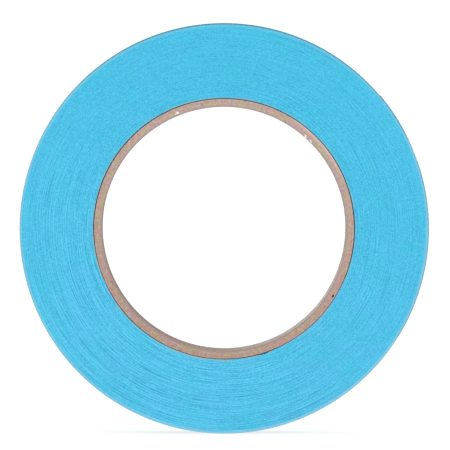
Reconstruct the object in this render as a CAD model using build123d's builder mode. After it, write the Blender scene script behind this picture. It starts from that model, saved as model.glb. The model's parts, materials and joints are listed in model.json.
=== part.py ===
from build123d import *

import os
from math import acos, atan2, cos, degrees, radians, sin

# A roll of masking tape: a spiral-wound paper core, the tape wound on it, and the free end of
# the outermost turn, which peels off the roll as a chain of short links.
# The roll stands on its tread with its axis along Y and its origin at the centre of the bore.
# Lengths are in millimetres. Angles are in degrees, from +X towards +Z.

# Driving dimensions
TAPE_WIDTH = 24.0
BORE_DIAMETER = 76.2
ROLL_DIAMETER = 128.0

# The tape has two layers, and the stuck free end keeps a hair's breadth off the turn below it.
BACKING_THICKNESS = 0.11
ADHESIVE_THICKNESS = 0.03
STUCK_GAP = 0.03
TAPE_THICKNESS = BACKING_THICKNESS + ADHESIVE_THICKNESS

# The core's plies from the bore outwards: name, thickness, where the ply's helical butt seam
# comes out at the front face, and the bevel that the slitting knife left round its outer rims.
CORE_PLIES = [
    ("core_inner_liner", 0.45, 60.0, 0.0),
    ("core_body_ply_1", 0.55, 205.0, 0.0),
    ("core_body_ply_2", 0.55, 100.0, 0.0),
    ("core_body_ply_3", 0.55, -32.0, 0.0),
    ("core_outer_ply", 0.45, 250.0, 0.2),
]
SEAM_GAP = 0.45
SEAM_LEAD = 146.0
CUT_MARGIN = 0.5

# The strip starts on the core at one angle, and leaves the wound body at the peel line.
TAPE_START_ANGLE = 147.0
PEEL_LINE_ANGLE = -32.0

# The free end
LINK_COUNT = 8
FREE_END_ANGLE = 40.0

HALF_WIDTH = TAPE_WIDTH / 2
CORE_RADIUS = BORE_DIAMETER / 2 + sum(thickness for _, thickness, _, _ in CORE_PLIES)
ROLL_RADIUS = ROLL_DIAMETER / 2
LINK_ANGLE = (FREE_END_ANGLE - PEEL_LINE_ANGLE) / LINK_COUNT


def at_angle(radius, angle):
    """The point of the face plane at this radius and angle about the roll's axis."""
    return Vector(radius * cos(radians(angle)), radius * sin(radians(angle)))


def save(name, part):
    """Labels one piece and writes it to its own file."""
    part.label = name
    export_step(part, f"parts/{name}.step")


def core_ply(inner_radius, thickness, seam_angle, edge_bevel):
    """A paper strip wound into a tube, with the helical gap where its two edges meet."""
    behind = (0, HALF_WIDTH + CUT_MARGIN, 0)
    seam_height = TAPE_WIDTH + 2 * CUT_MARGIN
    with BuildPart() as ply:
        with BuildSketch(Plane.XZ):
            Circle(inner_radius + thickness)
            Circle(inner_radius, mode=Mode.SUBTRACT)
        extrude(amount=HALF_WIDTH, both=True)
        if edge_bevel > 0:
            rims = ply.edges().filter_by(GeomType.CIRCLE).sort_by(SortBy.RADIUS)[-2:]
            chamfer(rims, edge_bevel)
        # The seam runs from behind the back face to in front of the front face.
        with BuildLine() as seam:
            Helix(SEAM_LEAD, seam_height, inner_radius + thickness / 2, behind, (0, -1, 0))
        foot = seam.line @ 0
        with BuildSketch(Plane(foot, x_dir=Vector(foot.X, 0, foot.Z), z_dir=seam.line % 0)):
            Rectangle(thickness + 2 * CUT_MARGIN, SEAM_GAP)
        sweep(path=seam.line, is_frenet=True, mode=Mode.SUBTRACT)
    foot_angle = degrees(atan2(foot.Z, foot.X))
    seam_angle_now = foot_angle + 360 * (TAPE_WIDTH + CUT_MARGIN) / SEAM_LEAD
    return ply.part.rotate(Axis.Y, seam_angle_now - seam_angle)


def make_core():
    """Every ply of the core, each on the one inside it."""
    inner_radius = BORE_DIAMETER / 2
    for name, thickness, seam_angle, edge_bevel in CORE_PLIES:
        save(name, core_ply(inner_radius, thickness, seam_angle, edge_bevel))
        inner_radius += thickness


def make_wound_tape():
    """All the turns up to the peel line, as one body.

    Its outline is a spiral that grows by one turn: a half circle about the roll's axis, then a
    half circle about a point half a turn's pitch towards the peel line, and a step at the end.
    """
    pitch = TAPE_THICKNESS + STUCK_GAP
    first_radius = ROLL_RADIUS - pitch
    second_centre = at_angle(pitch / 2, PEEL_LINE_ANGLE)
    # Where the strip starts, the next turn bridges its square end and leaves a thin wedge empty.
    start_foot = at_angle(CORE_RADIUS, TAPE_START_ANGLE)
    start_top = at_angle(CORE_RADIUS + TAPE_THICKNESS, TAPE_START_ANGLE)
    bridge_angle = degrees(acos(CORE_RADIUS / (CORE_RADIUS + TAPE_THICKNESS)))
    with BuildPart() as wound_tape:
        with BuildSketch(Plane.XZ):
            with BuildLine():
                CenterArc((0, 0), first_radius, PEEL_LINE_ANGLE, 180)
                CenterArc(second_centre, first_radius + pitch / 2, PEEL_LINE_ANGLE + 180, 180)
                Line(at_angle(ROLL_RADIUS, PEEL_LINE_ANGLE), at_angle(first_radius, PEEL_LINE_ANGLE))
            make_face()
            Circle(CORE_RADIUS, mode=Mode.SUBTRACT)
            with BuildLine():
                Line(start_foot, start_top)
                Line(start_top, at_angle(CORE_RADIUS, TAPE_START_ANGLE - bridge_angle))
                CenterArc((0, 0), CORE_RADIUS, TAPE_START_ANGLE - bridge_angle, bridge_angle)
            make_face(mode=Mode.SUBTRACT)
        extrude(amount=HALF_WIDTH, both=True)
    save("wound_tape", wound_tape.part)


def strip_link(inner_radius, thickness, start_angle):
    """One layer of one link of the free end: a short curved strip, as wide as the tape."""
    outer_radius = inner_radius + thickness
    end_angle = start_angle + LINK_ANGLE
    with BuildPart() as link:
        with BuildSketch(Plane.XZ):
            with BuildLine():
                CenterArc((0, 0), inner_radius, start_angle, LINK_ANGLE)
                Line(at_angle(inner_radius, end_angle), at_angle(outer_radius, end_angle))
                CenterArc((0, 0), outer_radius, end_angle, -LINK_ANGLE)
                Line(at_angle(outer_radius, start_angle), at_angle(inner_radius, start_angle))
            make_face()
        extrude(amount=HALF_WIDTH, both=True)
    return link.part


def make_free_end():
    """The free end of the strip, from the peel line to its square-cut edge."""
    adhesive_radius = ROLL_RADIUS - TAPE_THICKNESS
    backing_radius = ROLL_RADIUS - BACKING_THICKNESS
    for index in range(LINK_COUNT):
        start_angle = PEEL_LINE_ANGLE + index * LINK_ANGLE
        number = index + 1
        save(f"tail_backing_{number}", strip_link(backing_radius, BACKING_THICKNESS, start_angle))
        save(f"tail_adhesive_{number}", strip_link(adhesive_radius, ADHESIVE_THICKNESS, start_angle))


os.makedirs("parts", exist_ok=True)
make_core()
make_wound_tape()
make_free_end()
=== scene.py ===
"""A roll of masking tape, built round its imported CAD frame. Metres, with the roll's axis along Y."""

import json
import math
from collections import namedtuple

import bmesh
import bpy
import numpy as np
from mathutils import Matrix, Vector

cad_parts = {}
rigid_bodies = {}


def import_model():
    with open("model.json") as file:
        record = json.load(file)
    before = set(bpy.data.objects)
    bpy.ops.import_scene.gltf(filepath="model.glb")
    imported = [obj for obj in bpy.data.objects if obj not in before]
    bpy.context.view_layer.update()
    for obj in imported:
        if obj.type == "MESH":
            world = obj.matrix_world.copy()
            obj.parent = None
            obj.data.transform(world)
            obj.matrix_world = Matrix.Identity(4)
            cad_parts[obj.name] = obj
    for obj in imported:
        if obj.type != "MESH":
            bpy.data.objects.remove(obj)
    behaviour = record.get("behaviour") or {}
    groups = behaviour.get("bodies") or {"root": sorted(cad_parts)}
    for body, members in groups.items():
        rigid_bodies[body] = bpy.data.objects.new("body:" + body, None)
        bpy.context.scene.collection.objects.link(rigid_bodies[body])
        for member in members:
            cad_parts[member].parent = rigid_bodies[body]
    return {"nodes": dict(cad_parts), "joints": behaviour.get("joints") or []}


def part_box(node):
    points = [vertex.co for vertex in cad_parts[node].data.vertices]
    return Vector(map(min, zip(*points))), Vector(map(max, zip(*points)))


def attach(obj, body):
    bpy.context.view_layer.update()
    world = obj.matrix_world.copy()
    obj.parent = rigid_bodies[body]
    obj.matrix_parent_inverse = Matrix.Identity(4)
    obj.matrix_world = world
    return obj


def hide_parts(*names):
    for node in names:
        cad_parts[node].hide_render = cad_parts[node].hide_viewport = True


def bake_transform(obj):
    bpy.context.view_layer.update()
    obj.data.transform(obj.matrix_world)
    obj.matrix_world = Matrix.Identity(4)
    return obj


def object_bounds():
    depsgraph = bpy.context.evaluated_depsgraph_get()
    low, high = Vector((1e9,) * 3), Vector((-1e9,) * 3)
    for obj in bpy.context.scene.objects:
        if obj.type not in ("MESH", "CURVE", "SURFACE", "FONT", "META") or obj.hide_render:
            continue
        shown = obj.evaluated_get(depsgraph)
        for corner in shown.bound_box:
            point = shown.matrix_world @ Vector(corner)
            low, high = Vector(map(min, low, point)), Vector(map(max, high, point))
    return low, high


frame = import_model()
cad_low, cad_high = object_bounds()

MM = 0.001
TURN = 2 * math.pi

# In a mesh made from loops of points, points nearer than this are merged, and edges that bend by
# more than so many degrees stay sharp.
MERGED_WITHIN = 1e-7
SHARP_BEYOND = 38

CREPE_SEED, SIDE_SEED, PLY_SEED, TUFT_SEED = 7, 11, 30, 5


# ---------------------------------------------------------------- sizes, read from the frame


def radii(node):
    """The smallest and largest distance of a CAD node's surface from the roll's axis."""
    reach = [math.hypot(v.co.x, v.co.z) for v in frame["nodes"][node].data.vertices]
    return min(reach), max(reach)


def angle_of(point):
    """A point's angle about the roll's axis, from +X towards +Z."""
    return math.atan2(point[2], point[0])


hinges = [Vector(joint["pos_m"]) for joint in frame["joints"]]
roll_body = frame["joints"][0]["parent"]

peel_angle = angle_of(hinges[0])
link_angle = angle_of(hinges[1]) - peel_angle
half_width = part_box("wound_tape")[1].y
core_radius, _ = radii("wound_tape")
glue_inner, glue_outer = radii("tail_adhesive_1")
paper_inner, roll_radius = radii("tail_backing_1")
tape_thickness = roll_radius - glue_inner

# The free end lies this far off the turn under it. At the peel line the roll's surface steps down
# by that and the tape's thickness.
FREE_END_GAP = 0.03 * MM
step = roll_radius - (glue_inner - FREE_END_GAP)


# ---------------------------------------------------------------- shapes of the tape and the core

# Creped paper: its height, the pitch and share of each size of its ridges, how many waves make up
# each size, how much their sum is raised before it is clipped, and how fast their bends drift.
CREPE_HEIGHT = 0.09 * MM
CREPE_RIDGES = [(1.4 * MM, 0.30), (0.85 * MM, 0.40), (0.52 * MM, 0.30)]
CREPE_WAVES = 4
CREPE_GAIN = 1.6
CREPE_DRIFT = 31 * MM
# A strip's mesh is fine along its length, to carry the ridges, and coarse across it.
STRIP_COLUMN = 0.10 * MM
STRIP_ROWS = 13
OUTER_TURN_COLUMNS = 4020

# A piece of the free end reaches from half a link before its hinge to half a link after it. The first two
# start later, and the first one has a curve share of its own.
LEAD, FIRST_LEADS = 0.5, {0: 0.0, 1: 0.2}
CURVE, FIRST_CURVE = 0.5, {0: 0.3}

# The slit sides: about how deep they are from the core to the tread, and how far in they lie.
SIDE_COLUMNS, SIDE_ROWS = 480, 90
SIDE_DEPTH = 23 * MM
SIDE_RECESS = 0.03 * MM
# Their relief, which is more beside the core and the rim. Each row differs from the next, changes
# in short and long stretches round the roll, and drifts in or out with the rows beside it. The rim
# is worn away.
RELIEF, RELIEF_BY_CORE, RELIEF_BY_RIM = 0.008 * MM, 0.012 * MM, 0.006 * MM
CORE_REACH, RIM_REACH = 5 * MM, 2 * MM
SHORT_STRETCHES, LONG_STRETCHES = 46, 9
DRIFT_RELIEF, DRIFT_ROWS = 0.008 * MM, 9
RIM_WEAR, RIM_WEAR_REACH = 0.10 * MM, 0.35 * MM
RELIEF_LIMITS = (-0.16 * MM, 0.03 * MM)

# The gap between the first turns and the core: its width, how far and how often that sways, its
# limits and how deep it goes in from each side.
GROOVE_WIDTH, GROOVE_SWAY, GROOVE_SWAYS = 0.158 * MM, 0.03 * MM, 14
GROOVE_LIMITS = (0.10 * MM, 0.26 * MM)
GROOVE_DEPTH = 2.5 * MM
CORE_CLEARANCE = 0.01 * MM
# Where the first turns stand clear of the core, or lie closer: angle and half width, in degrees,
# and change of gap.
GAPS = [(147, 13, 0.05 * MM), (-72.3, 2.2, 0.27 * MM), (-120, 50, -0.095 * MM), (-44, 24, -0.10 * MM)]

# The core's plies from the bore outwards, each one's mesh, and the fuzz on its two faces.
PLIES = ["core_inner_liner", "core_body_ply_1", "core_body_ply_2", "core_body_ply_3", "core_outer_ply"]
PLY_COLUMNS, PLY_FACE_ROWS, PLY_SIDE_ROWS = 720, 4, 7
PLY_FUZZ, PLY_FUZZ_KNOTS = 0.02 * MM, 240
# Where each ply's helical seam comes out at the front face, in degrees, as the CAD core has it.
SEAM_ANGLES = [60, 205, 100, -32, 250]
SEAM_GAP = 0.45 * MM
SEAM_LEAD = 146 * MM
# The outer ply's rims are bevelled, this far in and this deep at the front. Each ply's sharp corner
# beside its seam is worn off, this wide and as deep as the bevel, and one of them is torn off deeper.
BEVEL_WIDTH, BEVEL_DEPTH = 0.15 * MM, 0.6 * MM
CHIP_WIDTH, CHIP_DEPTH = 0.66 * MM, 0.9 * MM

# White tufts where the slitting knife frayed the core: angle in degrees, distance from the axis,
# and length along the core. Each is a heap of flakes, which reach from their middles so far as a
# share of that length, twist by about so many radians, and scatter by about so much.
TUFTS = [(111.9, 38.85 * MM, 1.4 * MM), (48.8, 38.45 * MM, 1.2 * MM), (45.4, 38.30 * MM, 1.1 * MM)]
TUFT_FLAKES, FLAKE_CORNERS = 12, 8
FLAKE_REACH = (0.35, 0.6)
FLAKE_TWIST, FLAKE_SCATTER = 0.25, 0.22 * MM
FLAKE_HALF_WIDTH, FLAKE_HALF_HEIGHT = 0.16 * MM, 0.10 * MM
TUFT_LIFT = 0.01 * MM


# ---------------------------------------------------------------- colours and directions


def srgb(red, green, blue):
    """A display colour, 0 to 255, as the linear colour that a shader takes."""
    return tuple(c / 12.92 if c <= 0.04045 else ((c + 0.055) / 1.055) ** 2.4
                 for c in (red / 255, green / 255, blue / 255))


SIDE_DARK = srgb(10, 127, 159)
SIDE_LIGHT = srgb(77, 164, 194)
SIDE_SCORED = srgb(20, 104, 136)
SIDE_RAISED = srgb(82, 174, 200)
SIDE_TURQUOISE = srgb(28, 152, 172)
SIDE_AZURE = srgb(66, 144, 188)
SIDE_COOL_TINT = (0.70, 0.985, 0.975)
SIDE_RIM = srgb(114, 161, 179)
SIDE_HAIRLINE = srgb(102, 142, 144)

# The tread's own blue lies between these two. Their spread is painted shade in the crepe's valleys and
# painted light on its crests.
TREAD_SHADED_VALLEY = srgb(34, 102, 126)
TREAD_LIT_CREST = srgb(68, 148, 172)
TREAD_PATCH = srgb(52, 130, 154)
TREAD_FIBRE = srgb(84, 164, 192)
GLUE_CLEAR = srgb(84, 152, 176)
GLUE_MILKY = srgb(110, 168, 188)

BOARD_LILAC = srgb(139, 127, 130)
BOARD_PINK = srgb(150, 113, 111)
BOARD_SALMON = srgb(148, 109, 92)
BOARD_TAN = srgb(133, 126, 103)
BOARD_OLIVE = srgb(137, 128, 94)
BOARD_GREY = srgb(139, 115, 124)
BOARD_SHADE = srgb(98, 82, 72)
BOARD_PALE = srgb(182, 168, 160)
BOARD_SPECK = srgb(78, 64, 54)
# A painted highlight: paler board on the core's upper right.
BOARD_PAINTED_HIGHLIGHT = srgb(172, 152, 148)
# Tints for painted shade on the core's board below, and painted light, paler and bluer, above.
BOARD_PAINTED_SHADE_BELOW = (0.965, 0.925, 0.925)
BOARD_PAINTED_LIGHT_ABOVE = (1.06, 1.085, 1.13)

LINER_DARK = srgb(122, 104, 97)
LINER_LIGHT = srgb(140, 121, 111)
LINER_GREY = srgb(134, 118, 114)
# A tint for painted shade on the liner at the bottom of the bore, and none above.
LINER_PAINTED_SHADE_BELOW = (0.86, 0.82, 0.77)
LINER_UNSHADED_ABOVE = (1.0, 1.0, 1.0)

FLECK_WHITE = srgb(216, 210, 205)
FLOOR_DARK = (0.20, 0.20, 0.20)
FLOOR_LIGHT = (0.24, 0.24, 0.24)
FLOOR_GLOW = 0.79
WHITE = (1, 1, 1, 1)

# Where round the roll each look is strongest, in degrees from +X towards +Z.
RINGS_CLEAR_AT = 232
RINGS_SMOOTH_AT = 118
SIDE_COOL_AT = 70
RIM_PALE_AT = 250
HAIRLINE_AT = 225
# Where the core's painted light is strongest and its painted shade weakest.
CORE_TOP_AT = 75
# Where the painted highlight on the core is strongest.
CORE_HIGHLIGHT_AT = 40


# ---------------------------------------------------------------- noise and meshes


def smooth_noise(rows, knots, columns, rng):
    """Random rows that change smoothly round the roll: one value per row and column, closed."""
    table = rng.normal(size=(rows, knots))
    place = np.arange(columns) / columns * knots
    low = np.floor(place).astype(int)
    share = place - low
    share = share * share * (3 - 2 * share)
    return table[:, low % knots] * (1 - share) + table[:, (low + 1) % knots] * share


def crepe_height(along, across):
    """The height of creped paper, from -1 to 1: uneven ridges that run across the strip."""
    rng = np.random.default_rng(CREPE_SEED)
    height = np.zeros(np.broadcast(along, across).shape)
    for pitch, weight in CREPE_RIDGES:
        for _ in range(CREPE_WAVES):
            slant = rng.normal(0, 0.05)
            wave = pitch * rng.uniform(0.8, 1.25)
            bend = rng.uniform(0.5, 1.5) * MM
            sway = rng.uniform(8, 16) * MM
            sway_phase, wave_phase = rng.uniform(0, TURN, 2)
            shift = bend * np.sin(across / sway * TURN + sway_phase + along / CREPE_DRIFT)
            ridge = np.sin((along + slant * across + shift) / wave * TURN + wave_phase)
            height += weight / CREPE_WAVES * ridge * CREPE_GAIN
    return np.clip(height, -1, 1)


def on_roll(radius, angle, y):
    """Points at these radii and angles about the roll's axis, and these places across it."""
    radius, angle, y = np.broadcast_arrays(radius, angle, y)
    return np.stack([radius * np.cos(angle), y, radius * np.sin(angle)], -1)


def new_object(name, data):
    """An object in the scene that holds this mesh, lamp or camera."""
    made = bpy.data.objects.new(name, data)
    bpy.context.scene.collection.objects.link(made)
    return made


def grid_piece(name, points, closed_along, uv=None, relief=None):
    """A closed mesh from loops of points: points[i] is the i-th loop round the piece's section.

    The loops are joined in order. A piece that isn't closed along its length gets an end face on
    its first and last loops. A material can read relief, one number for each point, by that name.
    """
    loops, count, _ = points.shape
    mesh = bpy.data.meshes.new(name)
    spans = loops if closed_along else loops - 1
    here = np.arange(spans)[:, None] * count
    there = (np.arange(spans)[:, None] + 1) % loops * count
    side = np.arange(count)[None, :]
    beside = (side + 1) % count
    quads = np.stack([here + side, here + beside, there + beside, there + side], -1).reshape(-1, 4)
    faces = quads.tolist()
    if not closed_along:
        faces.append(list(range(count))[::-1])
        faces.append([(loops - 1) * count + k for k in range(count)])
    mesh.from_pydata(points.reshape(-1, 3).tolist(), [], faces)
    if uv is not None:
        layer = mesh.uv_layers.new(name="strip")
        corner = np.zeros(len(mesh.loops), np.int32)
        mesh.loops.foreach_get("vertex_index", corner)
        layer.data.foreach_set("uv", uv.reshape(-1, 2)[corner].astype(np.float32).ravel())
    if relief is not None:
        heights = mesh.attributes.new("relief", "FLOAT", "POINT")
        heights.data.foreach_set("value", relief.astype(np.float32).ravel())
    shape = bmesh.new()
    shape.from_mesh(mesh)
    bmesh.ops.remove_doubles(shape, verts=shape.verts, dist=MERGED_WITHIN)
    bmesh.ops.triangulate(shape, faces=[f for f in shape.faces if len(f.verts) > 4])
    bmesh.ops.recalc_face_normals(shape, faces=shape.faces)
    shape.to_mesh(mesh)
    shape.free()
    mesh.shade_smooth()
    mesh.set_sharp_from_angle(angle=math.radians(SHARP_BEYOND))
    return new_object(name, mesh)


# ---------------------------------------------------------------- shader nodes


def material(name):
    """A new node material: returns it, its node tree and its Principled shader."""
    made = bpy.data.materials.new(name)
    made.use_nodes = True
    return made, made.node_tree, made.node_tree.nodes["Principled BSDF"]


def add(tree, kind, inputs=(), **settings):
    """Adds a node, sets its settings, and links or sets its inputs by name or number."""
    node = tree.nodes.new(kind)
    for key, value in settings.items():
        setattr(node, key, value)
    for key, value in dict(inputs).items():
        if isinstance(value, bpy.types.NodeSocket):
            tree.links.new(value, node.inputs[key])
        else:
            node.inputs[key].default_value = value
    return node


def maths(tree, operation, *values):
    """The result of one Math node."""
    node = add(tree, "ShaderNodeMath", dict(enumerate(values)), operation=operation)
    return node.outputs[0]


def scaled(tree, value, share, start):
    """A value times a share, plus a start."""
    return maths(tree, "ADD", maths(tree, "MULTIPLY", value, share), start)


def mix_of(tree, first, first_share, second, second_share):
    """The sum of two values, each times its share."""
    return maths(tree, "ADD", maths(tree, "MULTIPLY", first, first_share),
                 maths(tree, "MULTIPLY", second, second_share))


def vector(tree, *values):
    """A vector of up to three values."""
    return add(tree, "ShaderNodeCombineXYZ", dict(enumerate(values))).outputs[0]


def noise(tree, place, scale, detail=3.0, roughness=0.55):
    """The height of a noise texture, with about scale features to the unit of its place."""
    settings = {"Vector": place, "Scale": scale, "Detail": detail, "Roughness": roughness}
    return add(tree, "ShaderNodeTexNoise", settings).outputs["Fac"]


def ramp(tree, factor, low, high):
    """How far a value has gone from low to high, from 0 to 1."""
    settings = {"Value": factor, "From Min": low, "From Max": high}
    return add(tree, "ShaderNodeMapRange", settings, clamp=True).outputs["Result"]


def blend_colour(tree, factor, first, second, mode="MIX"):
    """A mix of two colours, each a socket or a triple."""
    node = add(tree, "ShaderNodeMix", data_type="RGBA", blend_type=mode, clamp_factor=True)
    for socket, value in ((node.inputs[0], factor), (node.inputs[6], first), (node.inputs[7], second)):
        if isinstance(value, bpy.types.NodeSocket):
            tree.links.new(value, socket)
        elif isinstance(value, (int, float)):
            socket.default_value = value
        else:
            socket.default_value = (*value, 1)
    return node.outputs[2]


def finish_shader(tree, shader, colour, roughness, specular, height, depth, strength):
    """Sets a shader's colour, roughness and specular level, and bumps its surface by a height."""
    node = add(tree, "ShaderNodeBump", {"Height": height, "Distance": depth, "Strength": strength})
    tree.links.new(colour, shader.inputs["Base Color"])
    tree.links.new(roughness, shader.inputs["Roughness"])
    tree.links.new(node.outputs["Normal"], shader.inputs["Normal"])
    shader.inputs["Specular IOR Level"].default_value = specular


# A point of the roll as a texture sees it: its place, its place across the roll, its distance from
# the axis, and x and z over that distance.
Polar = namedtuple("Polar", "place y radius east north")


def polar_sockets(tree):
    """The sockets of a Polar."""
    place = add(tree, "ShaderNodeTexCoord").outputs["Object"]
    parts = add(tree, "ShaderNodeSeparateXYZ", {0: place}).outputs
    radius = maths(tree, "SQRT", maths(tree, "ADD", maths(tree, "POWER", parts[0], 2.0),
                                       maths(tree, "POWER", parts[2], 2.0)))
    east = maths(tree, "DIVIDE", parts[0], radius)
    north = maths(tree, "DIVIDE", parts[2], radius)
    return Polar(place, parts[1], radius, east, north)


def towards(tree, at, degrees):
    """How far round the roll a point lies towards a direction: 1 in it, and -1 opposite it."""
    angle = math.radians(degrees)
    return mix_of(tree, at.east, math.cos(angle), at.north, math.sin(angle))


def ring_noise(tree, at, rings, round_about, detail=3.0, roughness=0.55, outward=0.0):
    """Noise that changes fast with radius and slowly round the roll and across it.

    It has about so many rings to the metre, and is moved outward by so many metres.
    """
    radius = maths(tree, "SUBTRACT", at.radius, outward) if outward else at.radius
    place = vector(tree, mix_of(tree, radius, rings, at.y, 90.0),
                   maths(tree, "MULTIPLY", at.east, round_about),
                   maths(tree, "MULTIPLY", at.north, round_about))
    return noise(tree, place, 1.0, detail, roughness)


def turn_noise(tree, at, patches_per_turn, detail):
    """Noise that follows the tape round its spiral, so that neighbouring turns differ."""
    share = maths(tree, "DIVIDE", maths(tree, "ARCTAN2", at.north, at.east), TURN)
    layer = maths(tree, "SUBTRACT", maths(tree, "DIVIDE", at.radius, tape_thickness), share)
    turns = maths(tree, "ADD", maths(tree, "FLOOR", layer), share)
    settings = {"W": maths(tree, "MULTIPLY", turns, patches_per_turn), "Scale": 1.0, "Detail": detail}
    return add(tree, "ShaderNodeTexNoise", settings, noise_dimensions="1D").outputs["Fac"]


# ---------------------------------------------------------------- materials of the tape


def ring_clearness(tree, at):
    """How clear the rings of the slit side are: most on the lower left, and least on the upper left."""
    clear = ramp(tree, towards(tree, at, RINGS_CLEAR_AT), 0.0, 1.0)
    smooth = ramp(tree, towards(tree, at, RINGS_SMOOTH_AT), 0.55, 0.95)
    return maths(tree, "SUBTRACT", scaled(tree, clear, 0.72, 0.68), maths(tree, "MULTIPLY", smooth, 0.25))


def ring_tone(tree, at, each_turn, fibres, clear):
    """The tone of the slit side, about zero: rings as the turns differ, and paper fibres."""

    def centred(value, weight):
        return maths(tree, "MULTIPLY", maths(tree, "SUBTRACT", value, 0.5), weight)

    # The same rings, moved outward and taken away at half the weight, weaken the wide ones.
    rings = ring_noise(tree, at, 4000, 5, 0.0)
    moved = ring_noise(tree, at, 4000, 5, 0.0, outward=0.27 * MM)
    tone = maths(tree, "ADD", centred(each_turn, 0.9), centred(rings, 2.0))
    tone = maths(tree, "SUBTRACT", tone, centred(moved, 1.0))
    tone = maths(tree, "ADD", maths(tree, "MULTIPLY", tone, clear), centred(fibres, 4.7))
    near_core = ramp(tree, at.radius, core_radius + 9 * MM, core_radius + 3 * MM)
    return maths(tree, "MULTIPLY", tone, scaled(tree, near_core, 0.25, 1.0))


def marked(tree, at, clear, colour):
    """A colour with the dark rings that the knife scored, in worn places, and paler raised ones."""
    worn = ramp(tree, ring_noise(tree, at, 260, 9, 2.0), 0.42, 0.56)
    scored = ramp(tree, ring_noise(tree, at, 2300, 1.3, 0.0), 0.60, 0.70)
    scored = maths(tree, "MULTIPLY", maths(tree, "MULTIPLY", scored, worn), clear)
    raised = maths(tree, "MULTIPLY", ramp(tree, ring_noise(tree, at, 2700, 1.7, 0.0), 0.38, 0.28), clear)
    colour = blend_colour(tree, maths(tree, "MULTIPLY", scored, 0.34), colour, SIDE_SCORED)
    return blend_colour(tree, maths(tree, "MULTIPLY", raised, 0.22), colour, SIDE_RAISED)


def with_rim(tree, at, colour):
    """A colour that turns paler at the rim, and less so at the top of the roll."""
    rim = ramp(tree, at.radius, roll_radius - 1.2 * MM, roll_radius - 0.2 * MM)
    share = scaled(tree, ramp(tree, towards(tree, at, RIM_PALE_AT), -0.95, -0.1), 0.48, 0.52)
    return blend_colour(tree, maths(tree, "MULTIPLY", rim, share), colour, SIDE_RIM)


def with_hairline(tree, at, colour):
    """A colour with a broken greyish line on the first turns, beside the core."""
    hairline = ramp(tree, at.radius, core_radius + 0.75 * MM, core_radius + 0.45 * MM)
    broken = ramp(tree, ring_noise(tree, at, 60, 26, 2.0), 0.36, 0.58)
    share = scaled(tree, ramp(tree, towards(tree, at, HAIRLINE_AT), -0.14, 0.57), 0.25, 0.72)
    hairline = maths(tree, "MULTIPLY", hairline, maths(tree, "MULTIPLY", share, broken))
    return blend_colour(tree, hairline, colour, SIDE_HAIRLINE)


def tape_side_material():
    """The slit side of the wound tape: the edges of its turns, in fine broken rings."""
    made, tree, shader = material("tape_turn_edges")
    at = polar_sockets(tree)
    each_turn = turn_noise(tree, at, 9.7, 3.0)
    fibres = noise(tree, at.place, 3300.0, 2.0, 0.7)
    patches = noise(tree, at.place, 140.0, 3.0)
    clear = ring_clearness(tree, at)
    tone = ring_tone(tree, at, each_turn, fibres, clear)
    colour = blend_colour(tree, ramp(tree, tone, -1.2, 1.2), SIDE_DARK, SIDE_LIGHT)
    colour = marked(tree, at, clear, colour)
    colour = blend_colour(tree, ramp(tree, patches, 0.50, 1.30), colour, SIDE_TURQUOISE)
    colour = blend_colour(tree, ramp(tree, patches, 0.50, -0.30), colour, SIDE_AZURE)
    cool = ramp(tree, towards(tree, at, SIDE_COOL_AT), -1.1, 1.0)
    colour = blend_colour(tree, cool, colour, SIDE_COOL_TINT, "MULTIPLY")
    colour = with_hairline(tree, at, with_rim(tree, at, colour))
    roughness = ramp(tree, each_turn, -0.9, 1.5)
    height = mix_of(tree, each_turn, 0.6, fibres, 0.4)
    finish_shader(tree, shader, colour, roughness, 0.2, height, 0.06 * MM, 0.6)
    return made


def crepe_material():
    """The creped paper backing: matt blue, with fine ridges across the strip and paper fibres, and painted
    shade in the valleys of its crepe and painted light on its crests.
    """
    made, tree, shader = material("creped_backing")
    place = add(tree, "ShaderNodeTexCoord").outputs["UV"]
    parts = add(tree, "ShaderNodeSeparateXYZ", {0: place}).outputs
    stretched = vector(tree, maths(tree, "MULTIPLY", parts[0], 2900.0),
                       maths(tree, "MULTIPLY", parts[1], 260.0))
    ridges = noise(tree, stretched, 1.0, 3.0, 0.6)
    relief = add(tree, "ShaderNodeAttribute", attribute_name="relief").outputs["Fac"]
    fibres = noise(tree, place, 6500.0, 2.0)
    patches = noise(tree, place, 190.0, 4.0)
    # The crepe's height and ridges darken its valleys and lighten its crests: painted shade and painted
    # light.
    tone = scaled(tree, relief, 0.22, ridges)
    colour = blend_colour(tree, ramp(tree, tone, 0.2, 0.8), TREAD_SHADED_VALLEY, TREAD_LIT_CREST)
    colour = blend_colour(tree, ramp(tree, patches, 0.35, 0.9), colour, TREAD_PATCH)
    colour = blend_colour(tree, ramp(tree, fibres, 0.6, 0.95), colour, TREAD_FIBRE)
    roughness = ramp(tree, ridges, -0.9, 1.5)
    height = mix_of(tree, ridges, 0.8, fibres, 0.2)
    finish_shader(tree, shader, colour, roughness, 0.0, height, 0.16 * MM, 0.9)
    return made


def glue_material():
    """The adhesive film: the blue of the paper seen through a satin, slightly orange-peeled coat."""
    made, tree, shader = material("tape_adhesive_film")
    place = add(tree, "ShaderNodeTexCoord").outputs["UV"]
    ripples = noise(tree, place, 900.0, 3.0)
    patches = noise(tree, place, 140.0, 3.0)
    colour = blend_colour(tree, ramp(tree, patches, 0.3, 0.75), GLUE_CLEAR, GLUE_MILKY)
    roughness = ramp(tree, ripples, -0.9, 1.9)
    finish_shader(tree, shader, colour, roughness, 0.12, ripples, 0.04 * MM, 0.6)
    shader.inputs["Coat Weight"].default_value = 0.06
    shader.inputs["Coat Roughness"].default_value = 0.4
    return made


# ---------------------------------------------------------------- materials of the core and floor


def light_and_shade_by_height(tree, at, colour, below, above):
    """A colour with painted shade at the bottom of the roll and painted light at its top, each as a tint.
    """
    upward = ramp(tree, towards(tree, at, CORE_TOP_AT), -0.7, 0.7)
    return blend_colour(tree, 1.0, colour, blend_colour(tree, upward, below, above), "MULTIPLY")


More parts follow.
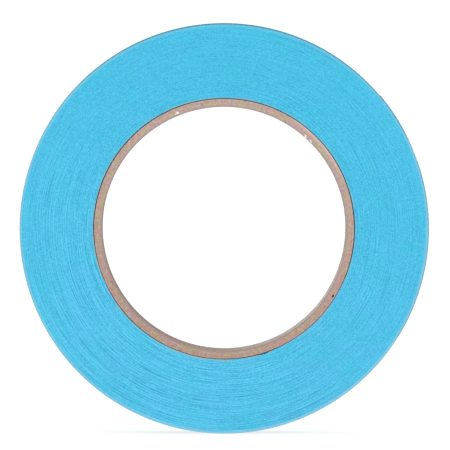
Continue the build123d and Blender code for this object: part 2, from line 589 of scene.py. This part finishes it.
def board_material(name, tone, second_tone, highlight=0.0):
    """Core paperboard: two kraft tones in blotches, with fibres along the winding and dark specks.

    It has painted light and shade: it is a little paler above than below, and paler still on its upper
    right, a painted highlight as strong as the share given.
    """
    made, tree, shader = material(name)
    at = polar_sockets(tree)
    blotches = ring_noise(tree, at, 1100, 16)
    mottle = noise(tree, at.place, 1000.0, 4.0, 0.8)
    fibres = ring_noise(tree, at, 3300, 70, 3.0, 0.65)
    specks = noise(tree, at.place, 2600.0, 2.0)
    colour = blend_colour(tree, ramp(tree, blotches, 0.42, 0.58), tone, second_tone)
    colour = blend_colour(tree, ramp(tree, mottle, 0.50, 1.00), colour, BOARD_SHADE)
    colour = blend_colour(tree, ramp(tree, mottle, 0.50, 0.00), colour, BOARD_PALE)
    colour = blend_colour(tree, ramp(tree, fibres, 0.58, 0.9), colour, BOARD_PALE)
    colour = blend_colour(tree, ramp(tree, specks, 0.66, 0.8), colour, BOARD_SPECK)
    # Painted shade below and painted light above.
    colour = light_and_shade_by_height(tree, at, colour, BOARD_PAINTED_SHADE_BELOW, BOARD_PAINTED_LIGHT_ABOVE)
    # A painted highlight on the board's upper right.
    if highlight > 0:
        highlit = ramp(tree, towards(tree, at, CORE_HIGHLIGHT_AT), 0.93, 0.985)
        colour = blend_colour(tree, maths(tree, "MULTIPLY", highlit, highlight), colour, BOARD_PAINTED_HIGHLIGHT)
    roughness = ramp(tree, fibres, -1.5, 1.2)
    height = mix_of(tree, fibres, 0.6, mottle, 0.4)
    finish_shader(tree, shader, colour, roughness, 0.2, height, 0.12 * MM, 0.9)
    return made


def liner_material():
    """The bore's kraft liner: smoother paper, with faint streaks along the bore's length, and painted
    shade towards the bottom of the bore.
    """
    made, tree, shader = material("core_liner_kraft")
    at = polar_sockets(tree)
    stretched = vector(tree, maths(tree, "MULTIPLY", at.y, 260.0),
                       maths(tree, "MULTIPLY", at.east, 46.0), maths(tree, "MULTIPLY", at.north, 46.0))
    grain = noise(tree, stretched, 1.0, 4.0, 0.6)
    mottle = noise(tree, at.place, 420.0, 4.0)
    fibres = noise(tree, at.place, 3800.0, 3.0)
    colour = blend_colour(tree, ramp(tree, grain, 0.3, 0.7), LINER_DARK, LINER_LIGHT)
    colour = blend_colour(tree, ramp(tree, mottle, 0.4, 0.85), colour, LINER_GREY)
    colour = blend_colour(tree, ramp(tree, fibres, 0.6, 0.9), colour, BOARD_PALE)
    # Painted shade at the bottom of the bore.
    colour = light_and_shade_by_height(tree, at, colour, LINER_PAINTED_SHADE_BELOW, LINER_UNSHADED_ABOVE)
    roughness = ramp(tree, mottle, -1.2, 1.4)
    height = mix_of(tree, grain, 0.5, fibres, 0.5)
    finish_shader(tree, shader, colour, roughness, 0.35, height, 0.06 * MM, 0.7)
    return made


def fleck_material():
    """Bleached paper fibres: matt and nearly white."""
    made, tree, shader = material("white_fibres")
    place = add(tree, "ShaderNodeTexCoord").outputs["Object"]
    strands = noise(tree, place, 5200.0, 3.0, 0.7)
    colour = blend_colour(tree, ramp(tree, strands, 0.3, 0.7), BOARD_PALE, FLECK_WHITE)
    roughness = ramp(tree, strands, -1.5, 1.2)
    finish_shader(tree, shader, colour, roughness, 0.5, strands, 0.05 * MM, 0.8)
    return made


def floor_material():
    """A pale studio floor: a light table's white panel, lit from below, with a faint tooth."""
    made, tree, shader = material("studio_floor")
    place = add(tree, "ShaderNodeTexCoord").outputs["Object"]
    tooth = noise(tree, place, 300.0, 2.0)
    colour = blend_colour(tree, ramp(tree, tooth, 0.3, 0.7), FLOOR_DARK, FLOOR_LIGHT)
    tree.links.new(colour, shader.inputs["Base Color"])
    shader.inputs["Roughness"].default_value = 0.9
    shader.inputs["Specular IOR Level"].default_value = 0.0
    shader.inputs["Emission Color"].default_value = WHITE
    shader.inputs["Emission Strength"].default_value = FLOOR_GLOW
    return made


# ---------------------------------------------------------------- the tape


def roll_surface(turned):
    """The wound roll's outer radius, so far round from the peel line: it grows by one step."""
    first_half = np.full(np.shape(turned), roll_radius - step)
    second_half = roll_radius - step / 2 * (1 - np.cos(turned))
    return np.where(turned < math.pi, first_half, second_half)


def side_relief(rng):
    """How far each point of one slit side stands out or in, in rows from the core outwards."""
    share = np.linspace(0, 1, SIDE_ROWS)
    ring = rng.normal(size=(SIDE_ROWS, 1))
    drift = rng.normal(size=SIDE_ROWS + DRIFT_ROWS - 1)
    drift = np.convolve(drift, np.ones(DRIFT_ROWS) / math.sqrt(DRIFT_ROWS), "valid")[:, None]
    broken = smooth_noise(SIDE_ROWS, SHORT_STRETCHES, SIDE_COLUMNS, rng)
    wander = smooth_noise(SIDE_ROWS, LONG_STRETCHES, SIDE_COLUMNS, rng)
    near_core = np.exp(-share * SIDE_DEPTH / CORE_REACH)[:, None]
    near_rim = np.exp(-(1 - share) * SIDE_DEPTH / RIM_REACH)[:, None]
    depth = RELIEF + RELIEF_BY_CORE * near_core + RELIEF_BY_RIM * near_rim
    relief = depth * (0.8 * ring + 0.8 * broken + 0.5 * wander) + DRIFT_RELIEF * drift
    relief = np.concatenate([relief, relief[:, :1]], 1)
    relief -= RIM_WEAR * np.exp(-(1 - share) * SIDE_DEPTH / RIM_WEAR_REACH)[:, None]
    return np.clip(relief, *RELIEF_LIMITS)


def groove_widths(angles, rng):
    """How wide the gap between the first turns and the core is, at each of these angles."""
    groove = GROOVE_WIDTH + GROOVE_SWAY * smooth_noise(1, GROOVE_SWAYS, SIDE_COLUMNS, rng)[0]
    groove = np.clip(np.append(groove, groove[0]), *GROOVE_LIMITS)
    for gap_angle, gap_width, gap_change in GAPS:
        off = (angles - math.radians(gap_angle) + math.pi) % TURN - math.pi
        groove += gap_change * np.exp(-(off / math.radians(gap_width)) ** 4)
    return groove


def make_turns():
    """Every turn but the outermost one: both slit sides carry the rings of the turns' edges."""
    rng = np.random.default_rng(SIDE_SEED)
    turned = np.arange(SIDE_COLUMNS + 1) / SIDE_COLUMNS * TURN
    angles = peel_angle + turned
    outline = roll_surface(turned) - tape_thickness
    edge = core_radius + groove_widths(angles, rng)
    seat = core_radius + CORE_CLEARANCE
    share = np.linspace(0, 1, SIDE_ROWS)[:, None]
    ring_radius = edge + (outline - edge) * share
    front = on_roll(ring_radius, angles, -half_width - side_relief(rng) + SIDE_RECESS)
    back = on_roll(ring_radius, angles, half_width + side_relief(rng) - SIDE_RECESS)
    groove_floor = half_width - GROOVE_DEPTH
    corners = [(edge, groove_floor), (seat, groove_floor), (seat, -groove_floor), (edge, -groove_floor)]
    inner = [on_roll(radius, angles, y)[None] for radius, y in corners]
    # One loop runs out over the front side, back across the tread, in over the back side and
    # across the core.
    loops = np.concatenate([front, back[::-1], *inner], 0).transpose(1, 0, 2)
    turns = grid_piece("tape_turns", loops, closed_along=True)
    turns.data.materials.append(SIDE)
    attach(turns, roll_body)
    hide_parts("wound_tape")


def strip_points(radius_top, thickness, angles, along, crepe):
    """Loops round a strip's section, from one end of it to the other, their UVs and their relief.

    The top side carries the crepe, crepe metres high.
    """
    y = np.linspace(-half_width, half_width, STRIP_ROWS)
    along_grid, y_grid = along[:, None], y[None, :]
    ridges = crepe_height(along_grid, y_grid)
    top = radius_top[:, None] + crepe * (ridges - 1) / 2
    bottom = np.broadcast_to((radius_top - thickness)[:, None], top.shape)
    loops = np.concatenate([on_roll(top, angles[:, None], y_grid),
                            on_roll(bottom, angles[:, None], y_grid)[:, ::-1]], 1)
    uv_top = np.stack(np.broadcast_arrays(along_grid, y_grid), -1)
    uv = np.concatenate([uv_top, uv_top[:, ::-1]], 1)
    relief = np.concatenate([ridges, np.ones_like(ridges)], 1)
    return loops, uv, relief


def edge_with(strip, finish):
    """Gives a strip's two slit edges a finish of their own."""
    strip.data.materials.append(finish)
    for face in strip.data.polygons:
        if abs(face.normal.y) > 0.9:
            face.material_index = 1


def make_outer_turn():
    """The outermost turn: one strip of creped paper, once round the roll, ending at the peel line."""
    turned = np.linspace(0, TURN, OUTER_TURN_COLUMNS)
    loops, uv, relief = strip_points(roll_surface(turned), tape_thickness, peel_angle + turned,
                                     turned * roll_radius, CREPE_HEIGHT)
    turn = grid_piece("outermost_turn", loops, closed_along=False, uv=uv, relief=relief)
    turn.data.materials.append(CREPE)
    edge_with(turn, SIDE)
    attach(turn, roll_body)


def make_free_end():
    """The free end, cut into one piece for each hinge."""
    count = len(hinges)
    cuts = [peel_angle + (index - FIRST_LEADS.get(index, LEAD)) * link_angle for index in range(count)]
    cuts.append(peel_angle + count * link_angle)
    for index in range(count):
        low, high = cuts[index], cuts[index + 1]
        angles = np.linspace(low, high, round((high - low) * roll_radius / STRIP_COLUMN))
        along = TURN * roll_radius + (angles - peel_angle) * roll_radius
        bent = peel_angle + (index + FIRST_CURVE.get(index, CURVE)) * link_angle
        start = on_roll(roll_radius, low, 0.0)
        end = on_roll(roll_radius, bent, 0.0)
        for layer, node, top, bottom, crepe, finish, slot in (
            ("paper", "tail_backing", roll_radius, paper_inner, CREPE_HEIGHT, CREPE, "tape_backing"),
            ("adhesive", "tail_adhesive", glue_outer, glue_inner, 0.0, GLUE, "tape_adhesive"),
        ):
            loops, uv, relief = strip_points(np.full(len(angles), top), top - bottom, angles, along, crepe)
            piece = grid_piece(f"free_end_{layer}_{index + 1}", loops, False, uv, relief)
            piece.data.materials.append(finish)
            if layer == "paper":
                edge_with(piece, SIDE)
            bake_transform(piece)
            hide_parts(f"{node}_{index + 1}")


# ---------------------------------------------------------------- the core


def make_ply(index, name, finish, bevel, chip):
    """One strip of the core, wound into a tube with a helical butt seam.

    The corner of the strip that the seam leaves sharp at the front face is worn off, or torn off
    deeper by a chip.
    """
    rng = np.random.default_rng(PLY_SEED + index)
    inner, outer = radii(name)
    inside_rows = np.linspace(-half_width, half_width, PLY_SIDE_ROWS)[1:-1]
    y = np.array([-half_width + max(chip, BEVEL_DEPTH), *inside_rows])
    face = np.linspace(0, 1, PLY_FACE_ROWS)
    outer_rim = outer - bevel
    # The section's loop: out over the front face, back along the outside, in over the back face
    # and forward along the inside.
    loop_radius = np.concatenate([inner + (outer_rim - inner) * face, np.full(len(y), outer),
                                  outer_rim + (inner - outer_rim) * face, np.full(len(y), inner)])
    loop_y = np.concatenate([np.full(PLY_FACE_ROWS, -half_width), y,
                             np.full(PLY_FACE_ROWS, half_width), y[::-1]])
    inward = np.concatenate([np.ones(PLY_FACE_ROWS), np.zeros(len(y)),
                             -np.ones(PLY_FACE_ROWS), np.zeros(len(y))])
    fuzz = PLY_FUZZ * np.abs(smooth_noise(len(loop_radius), PLY_FUZZ_KNOTS, PLY_COLUMNS, rng)).T
    mouth = math.radians(SEAM_ANGLES[index])
    depth = loop_y + half_width
    seam = mouth - depth / SEAM_LEAD * TURN
    gap = SEAM_GAP / inner
    start = np.where(depth <= chip, mouth + CHIP_WIDTH / inner, seam + gap / 2)
    end = seam + TURN - gap / 2
    share = np.linspace(0, 1, PLY_COLUMNS)[:, None]
    angle = start * (1 - share) + end * share
    loops = on_roll(loop_radius, angle, loop_y + fuzz * inward)
    ply = grid_piece(name + "_paper", loops, closed_along=False)
    ply.data.materials.append(finish)
    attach(ply, roll_body)
    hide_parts(name)


def make_core():
    """All five plies, from the bore outwards: finish, slot, bevel and depth of torn corner."""
    board = "core_board"
    finishes = [
        (liner_material(), "core_liner_paper", 0, 0),
        (board_material("core_board_1", BOARD_OLIVE, BOARD_GREY), board, 0, 0),
        (board_material("core_board_2", BOARD_TAN, BOARD_PINK), board, 0, 0),
        # The last two boards carry a painted highlight, by the share given.
        (board_material("core_board_3", BOARD_SALMON, BOARD_TAN, 0.4), board, 0, CHIP_DEPTH),
        (board_material("core_outer_board", BOARD_LILAC, BOARD_PINK, 0.8), "core_outer_paper",
         BEVEL_WIDTH, 0),
    ]
    for index, (name, (finish, slot, bevel, chip)) in enumerate(zip(PLIES, finishes)):
        make_ply(index, name, finish, bevel, chip)


def add_flake(shape, middle, heading, reach):
    """Adds one flat pointed flake to a mesh: an oval along its heading, with a top and a foot."""
    lengthwise = np.array([math.cos(heading), 0, math.sin(heading)])
    across = np.array([-math.sin(heading), 0, math.cos(heading)])
    ring = []
    for turn in np.arange(FLAKE_CORNERS) / FLAKE_CORNERS * TURN:
        spread = reach * math.cos(turn) * lengthwise + FLAKE_HALF_WIDTH * math.sin(turn) * across
        ring.append(shape.verts.new(middle + spread))
    top = shape.verts.new(middle + (0, -FLAKE_HALF_HEIGHT, 0))
    foot = shape.verts.new(middle + (0, FLAKE_HALF_HEIGHT, 0))
    for here, there in zip(ring, ring[1:] + ring[:1]):
        shape.faces.new((here, there, top))
        shape.faces.new((there, here, foot))


def make_tufts():
    """Small tufts of frayed white fibres on the front face of the core."""
    rng = np.random.default_rng(TUFT_SEED)
    finish = fleck_material()
    for number, (degrees, radius, length) in enumerate(TUFTS, 1):
        angle = math.radians(degrees)
        shape = bmesh.new()
        for _ in range(TUFT_FLAKES):
            heading = angle + math.pi / 2 + rng.normal(0, FLAKE_TWIST)
            reach = length * rng.uniform(*FLAKE_REACH)
            middle = on_roll(radius, angle, -half_width - TUFT_LIFT)
            middle = middle + rng.normal(0, FLAKE_SCATTER, 3) * (1, 0.3, 1)
            add_flake(shape, middle, heading, reach)
        bmesh.ops.recalc_face_normals(shape, faces=shape.faces)
        mesh = bpy.data.meshes.new(f"frayed_fibres_{number}")
        shape.to_mesh(mesh)
        shape.free()
        mesh.shade_smooth()
        mesh.materials.append(finish)
        tuft = new_object(mesh.name, mesh)
        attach(tuft, roll_body)


# ---------------------------------------------------------------- studio

FLOOR_SIZE = 20

# The view: how far off the camera stands, how high it looks down from, how much of the frame's
# width the roll's face takes, and where the roll's centre is off the frame's, as shares of it.
CAMERA_DISTANCE = 6.0
CAMERA_ELEVATION = 1.6
ROLL_SHARE = 0.912
CENTRE_LEFT, CENTRE_LOW = 0.0022, 0.0086


def make_floor():
    """A pale floor under the roll, wide enough to fill the view behind it."""
    shape = bmesh.new()
    bmesh.ops.create_grid(shape, x_segments=8, y_segments=8, size=FLOOR_SIZE)
    bmesh.ops.translate(shape, verts=shape.verts, vec=(0, 0, cad_low.z))
    mesh = bpy.data.meshes.new("floor")
    shape.to_mesh(mesh)
    shape.free()
    mesh.materials.append(floor_material())
    new_object("floor", mesh)


def make_sun(name, azimuth, elevation, strength, softness):
    lamp = bpy.data.lights.new(name, "SUN")
    lamp.energy = strength * math.pi
    lamp.angle = math.radians(softness)
    holder = new_object(name, lamp)
    turn, lift = math.radians(azimuth), math.radians(elevation)
    source = Vector((math.sin(turn) * math.cos(lift), -math.cos(turn) * math.cos(lift), math.sin(lift)))
    holder.rotation_mode = "QUATERNION"
    holder.rotation_quaternion = source.to_track_quat("Z", "Y")


def make_lights():
    """Soft studio light, mostly from in front and a little above, with a weaker fill from behind."""
    make_sun("key", azimuth=22, elevation=14, strength=0.85, softness=30)
    make_sun("back_fill", azimuth=205, elevation=20, strength=0.45, softness=40)
    world = bpy.data.worlds.new("studio")
    world.use_nodes = True
    backdrop = world.node_tree.nodes["Background"]
    backdrop.inputs["Color"].default_value = WHITE
    backdrop.inputs["Strength"].default_value = 1.0
    bpy.context.scene.world = world
    bpy.context.scene.view_settings.view_transform = "Standard"


def make_camera():
    """A long lens that looks nearly along the roll's axis at its front side."""
    lens = bpy.data.cameras.new("camera")
    camera = new_object("camera", lens)
    field = 2 * roll_radius / ROLL_SHARE
    lift = math.radians(CAMERA_ELEVATION)
    back = Vector((0, -math.cos(lift), math.sin(lift)))
    target = Vector((CENTRE_LEFT * field, -half_width, CENTRE_LOW * field))
    camera.location = target + back * CAMERA_DISTANCE
    camera.rotation_mode = "QUATERNION"
    camera.rotation_quaternion = back.to_track_quat("Z", "Y")
    lens.lens = lens.sensor_width * CAMERA_DISTANCE / field
    lens.clip_end = 100
    bpy.context.scene.camera = camera


# The materials of the tape, which several pieces share.
SIDE = tape_side_material()
CREPE = crepe_material()
GLUE = glue_material()

make_camera()
make_lights()
make_floor()
make_turns()
make_outer_turn()
make_free_end()
make_core()
make_tufts()
